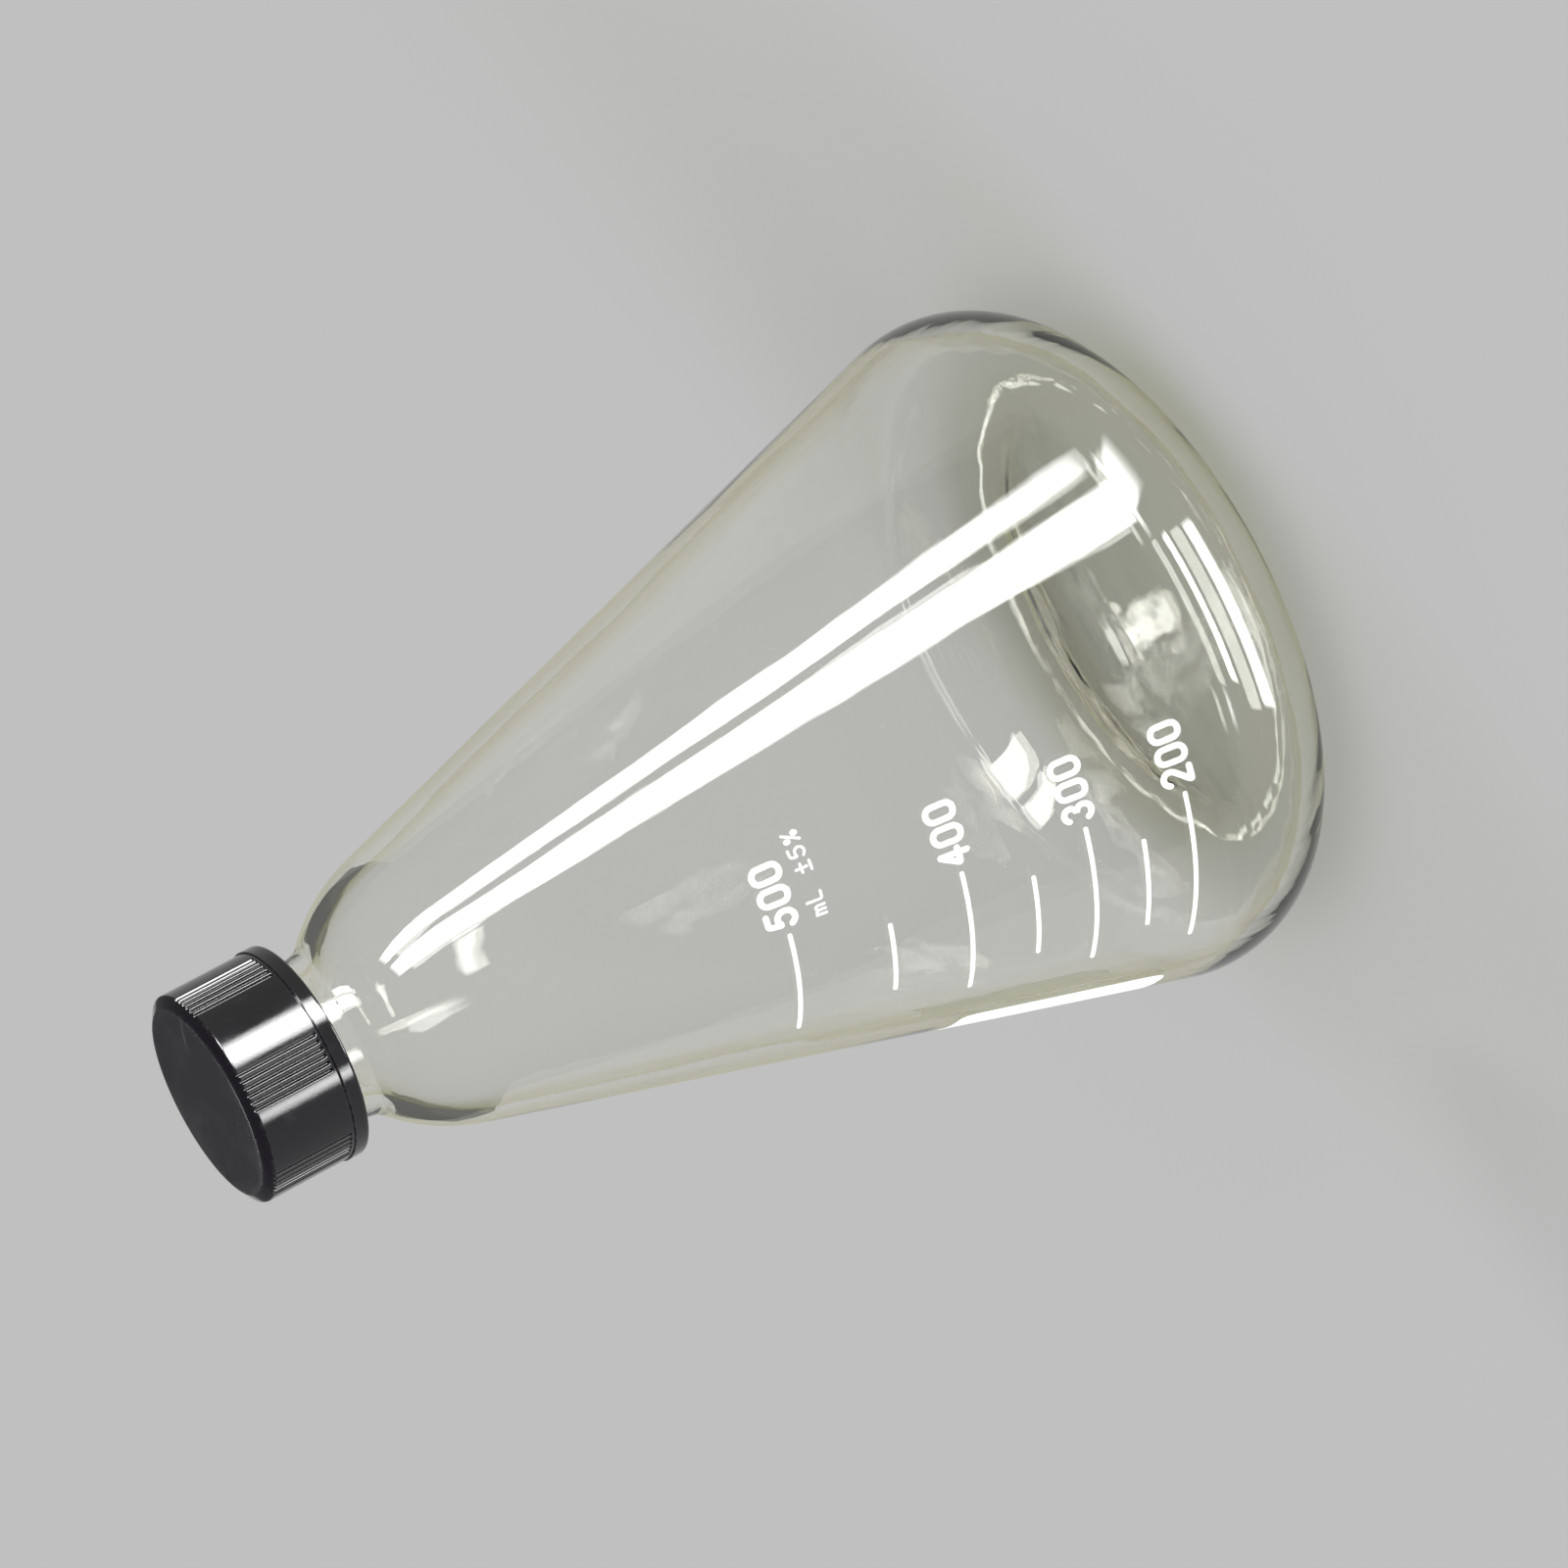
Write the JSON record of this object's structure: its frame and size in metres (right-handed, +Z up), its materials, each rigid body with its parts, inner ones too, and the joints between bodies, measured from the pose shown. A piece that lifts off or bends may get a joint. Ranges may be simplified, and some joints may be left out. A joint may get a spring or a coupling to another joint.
{
  "type": "conical laboratory flask with screw cap",
  "caption": "Conical glass laboratory flask with a rounded heel, a short threaded neck, a ribbed black screw cap and a rubber sealing liner.",
  "frame": {"origin": "centre of the base, level with the ring that the flask stands on", "axes": "+Z up along the flask's axis from base to cap, -Y towards the graduated side"},
  "size_m": [0.1074, 0.1074, 0.1662],
  "materials": {
    "glass": "clear, fire polished",
    "cap_plastic": "glossy moulded",
    "liner_rubber": "matt",
    "enamel": "fired white print"
  },
  "bodies": {
    "flask": {"flask": "glass"},
    "liner": {"cap_liner": "liner_rubber"},
    "cap": {"screw_cap": "cap_plastic"}
  },
  "joints": [
    {"name": "cap_lift", "type": "slide", "parent": "flask", "child": "liner", "axis": [0, 0, 1], "range_m": [0, 0.00529]},
    {"name": "cap_turn", "type": "hinge", "parent": "liner", "child": "cap", "pos_m": [0, 0, 0.1632], "axis": [0, 0, 1], "range_deg": [0, 450]}
  ],
  "couplings": [
    {"joint": "cap_lift", "follows": "cap_turn", "m_per_rad": 0.00067376}
  ]
}
